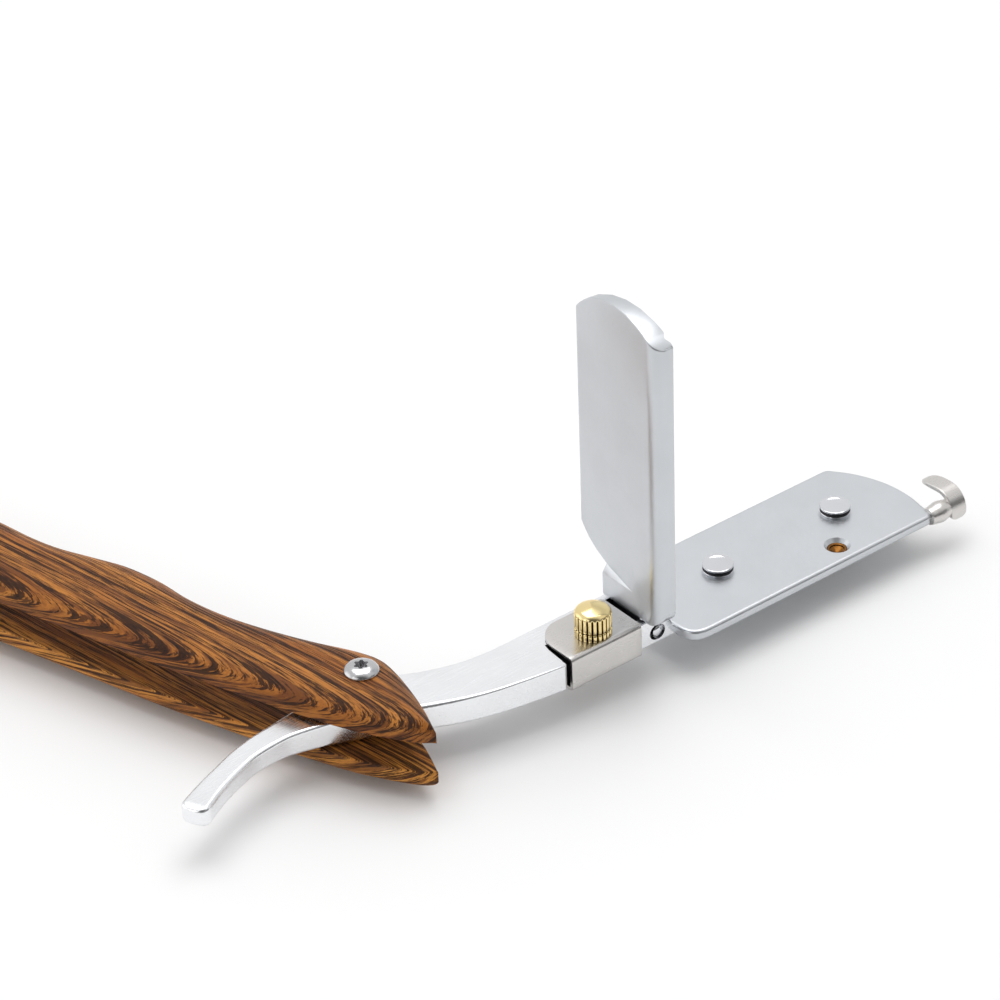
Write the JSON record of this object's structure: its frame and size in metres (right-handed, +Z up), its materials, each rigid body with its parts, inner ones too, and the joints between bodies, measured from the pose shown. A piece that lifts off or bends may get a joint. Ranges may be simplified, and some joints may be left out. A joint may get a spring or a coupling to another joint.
{
  "type": "straight razor",
  "caption": "Folding straight razor with a hinged clamp plate over a studded blade bed, a sliding lock sleeve with a brass knob, and two wooden scales on a pivot.",
  "frame": {"origin": "underside of the bed plate, below the middle of the blade seat, half-way between the two blade studs", "axes": "+X from the hinge towards the nose, +Y from the spine side towards the cutting edge, +Z up through the razor as it lies on its side"},
  "size_m": [0.1472, 0.1383, 0.0604],
  "materials": {
    "tang_steel": "brushed along its length, polished edges",
    "plate_steel": "bead-blasted satin with polished edges",
    "sleeve_steel": "warm grey satin",
    "polished_steel": "polished",
    "brass": "polished",
    "scale_wood": "oiled, strongly streaked grain"
  },
  "bodies": {
    "tang": {"tang": "tang_steel", "hinge_pin": "polished_steel", "bed_plate": "plate_steel", "rear_blade_stud": "polished_steel", "front_blade_stud": "polished_steel", "dowel_bush": "brass", "nose_hook": "sleeve_steel", "pivot_bush": "brass"},
    "clamp": {"clamp_plate": "plate_steel", "clamp_dowel": "polished_steel"},
    "sleeve": {"lock_sleeve": "sleeve_steel", "knob_collar": "brass"},
    "knob": {"thumb_knob": "brass", "lock_screw": "polished_steel"},
    "handle": {"upper_scale": "scale_wood", "lower_scale": "scale_wood", "pivot_screw": "polished_steel", "pivot_nut": "polished_steel", "upper_washer": "brass", "lower_washer": "brass", "butt_spacer": "scale_wood", "butt_screw": "polished_steel", "butt_nut": "polished_steel"}
  },
  "joints": [
    {"name": "handle_pivot", "type": "hinge", "parent": "tang", "child": "handle", "pos_m": [-0.07235, 0.0065, 0.0022], "axis": [0, 0, 1], "range_deg": [-100, 198]},
    {"name": "clamp_hinge", "type": "hinge", "parent": "tang", "child": "clamp", "pos_m": [-0.02875, -0.0016, 0.0018], "axis": [0, 1, 0], "range_deg": [0, 90]},
    {"name": "sleeve_slide", "type": "slide", "parent": "tang", "child": "sleeve", "axis": [1, 0, 0], "range_m": [-0.0006, 0.0007]},
    {"name": "knob_turn", "type": "hinge", "parent": "sleeve", "child": "knob", "pos_m": [-0.03885, -0.0039, 0.006], "axis": [0, 0, 1], "range_deg": [0, 360]}
  ]
}
